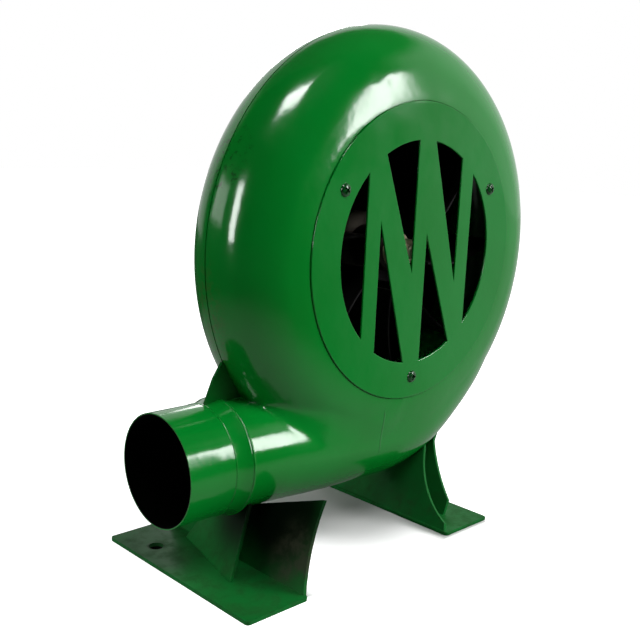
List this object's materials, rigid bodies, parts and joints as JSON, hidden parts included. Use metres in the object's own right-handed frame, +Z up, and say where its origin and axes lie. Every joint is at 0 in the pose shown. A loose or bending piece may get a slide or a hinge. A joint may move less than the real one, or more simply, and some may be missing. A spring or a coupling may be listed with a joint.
{
  "type": "hand crank forge blower",
  "caption": "Hand cranked centrifugal blower in a rounded scroll housing with a slotted intake grille, side outlet pipe, raked feet, step-up gears and a wooden crank grip.",
  "frame": {"origin": "midway between the two bench bolt holes, at floor level", "axes": "+Z up; the intake grille faces -Y and the crank +Y; the outlet pipe points along -X"},
  "size_m": [0.2666, 0.2204, 0.2787],
  "materials": {
    "green_enamel": "gloss enamel",
    "green_screws": "gloss enamel",
    "zinc_hardware": "bright zinc",
    "green_casting": "gloss enamel",
    "black_sheet": "satin black",
    "hub_casting": "as cast",
    "housing_casting": "as cast",
    "bright_steel": "turned",
    "bearing_steel": "ground",
    "gear_steel": "machined, oiled",
    "bronze": "turned",
    "wood": "lacquered hardwood"
  },
  "bodies": {
    "housing": {"front_shell": "green_enamel", "back_shell": "green_enamel", "outlet_pipe": "green_enamel", "throat_web": "green_enamel", "intake_grille": "green_enamel", "grille_screw_1": "green_screws", "grille_screw_2": "green_screws", "grille_screw_3": "green_screws", "left_foot": "green_enamel", "left_rib": "green_enamel", "right_foot": "green_enamel", "right_rib": "green_enamel", "bearing_housing": "housing_casting", "front_bearing": "bearing_steel", "rear_bearing": "bearing_steel", "gear_plate": "green_enamel", "gear_case": "green_enamel", "case_screw_1": "zinc_hardware", "case_screw_2": "zinc_hardware", "case_screw_3": "zinc_hardware", "case_screw_4": "zinc_hardware", "case_screw_5": "zinc_hardware", "case_screw_6": "zinc_hardware", "layshaft_bolt": "zinc_hardware", "inner_bush": "bronze", "outer_bush": "bronze"},
    "crank": {"crank_shaft": "bright_steel", "crank_gear": "gear_steel", "crank_arm": "green_casting", "crank_washer": "zinc_hardware", "crank_nut": "zinc_hardware", "spindle_nut": "zinc_hardware", "grip_spindle": "bright_steel"},
    "layshaft": {"layshaft_gear": "gear_steel", "layshaft_pinion": "gear_steel"},
    "fan": {"fan_shaft": "bright_steel", "fan_hub": "hub_casting", "fan_disc": "black_sheet", "fan_blade_1": "black_sheet", "fan_blade_2": "black_sheet", "fan_blade_3": "black_sheet", "fan_blade_4": "black_sheet", "fan_blade_5": "black_sheet", "fan_blade_6": "black_sheet", "fan_blade_7": "black_sheet", "fan_blade_8": "black_sheet", "fan_washer": "bright_steel", "fan_nut": "bright_steel", "fan_pinion": "gear_steel"},
    "grip": {"wooden_grip": "wood"}
  },
  "joints": [
    {"name": "crank_turn", "type": "hinge", "parent": "housing", "child": "crank", "pos_m": [0.078, 0.04, 0.1587], "axis": [0, 1, 0], "continuous": true},
    {"name": "layshaft_turn", "type": "hinge", "parent": "housing", "child": "layshaft", "pos_m": [0.04535, 0.01, 0.18967], "axis": [0, 1, 0], "continuous": true},
    {"name": "fan_turn", "type": "hinge", "parent": "housing", "child": "fan", "pos_m": [0.044, -0.03, 0.1587], "axis": [0, 1, 0], "continuous": true},
    {"name": "grip_turn", "type": "hinge", "parent": "crank", "child": "grip", "pos_m": [0.078, 0.09, 0.0437], "axis": [0, 1, 0], "continuous": true}
  ],
  "couplings": [
    {"joint": "layshaft_turn", "follows": "crank_turn", "ratio": -5},
    {"joint": "fan_turn", "follows": "crank_turn", "ratio": 20.833}
  ]
}
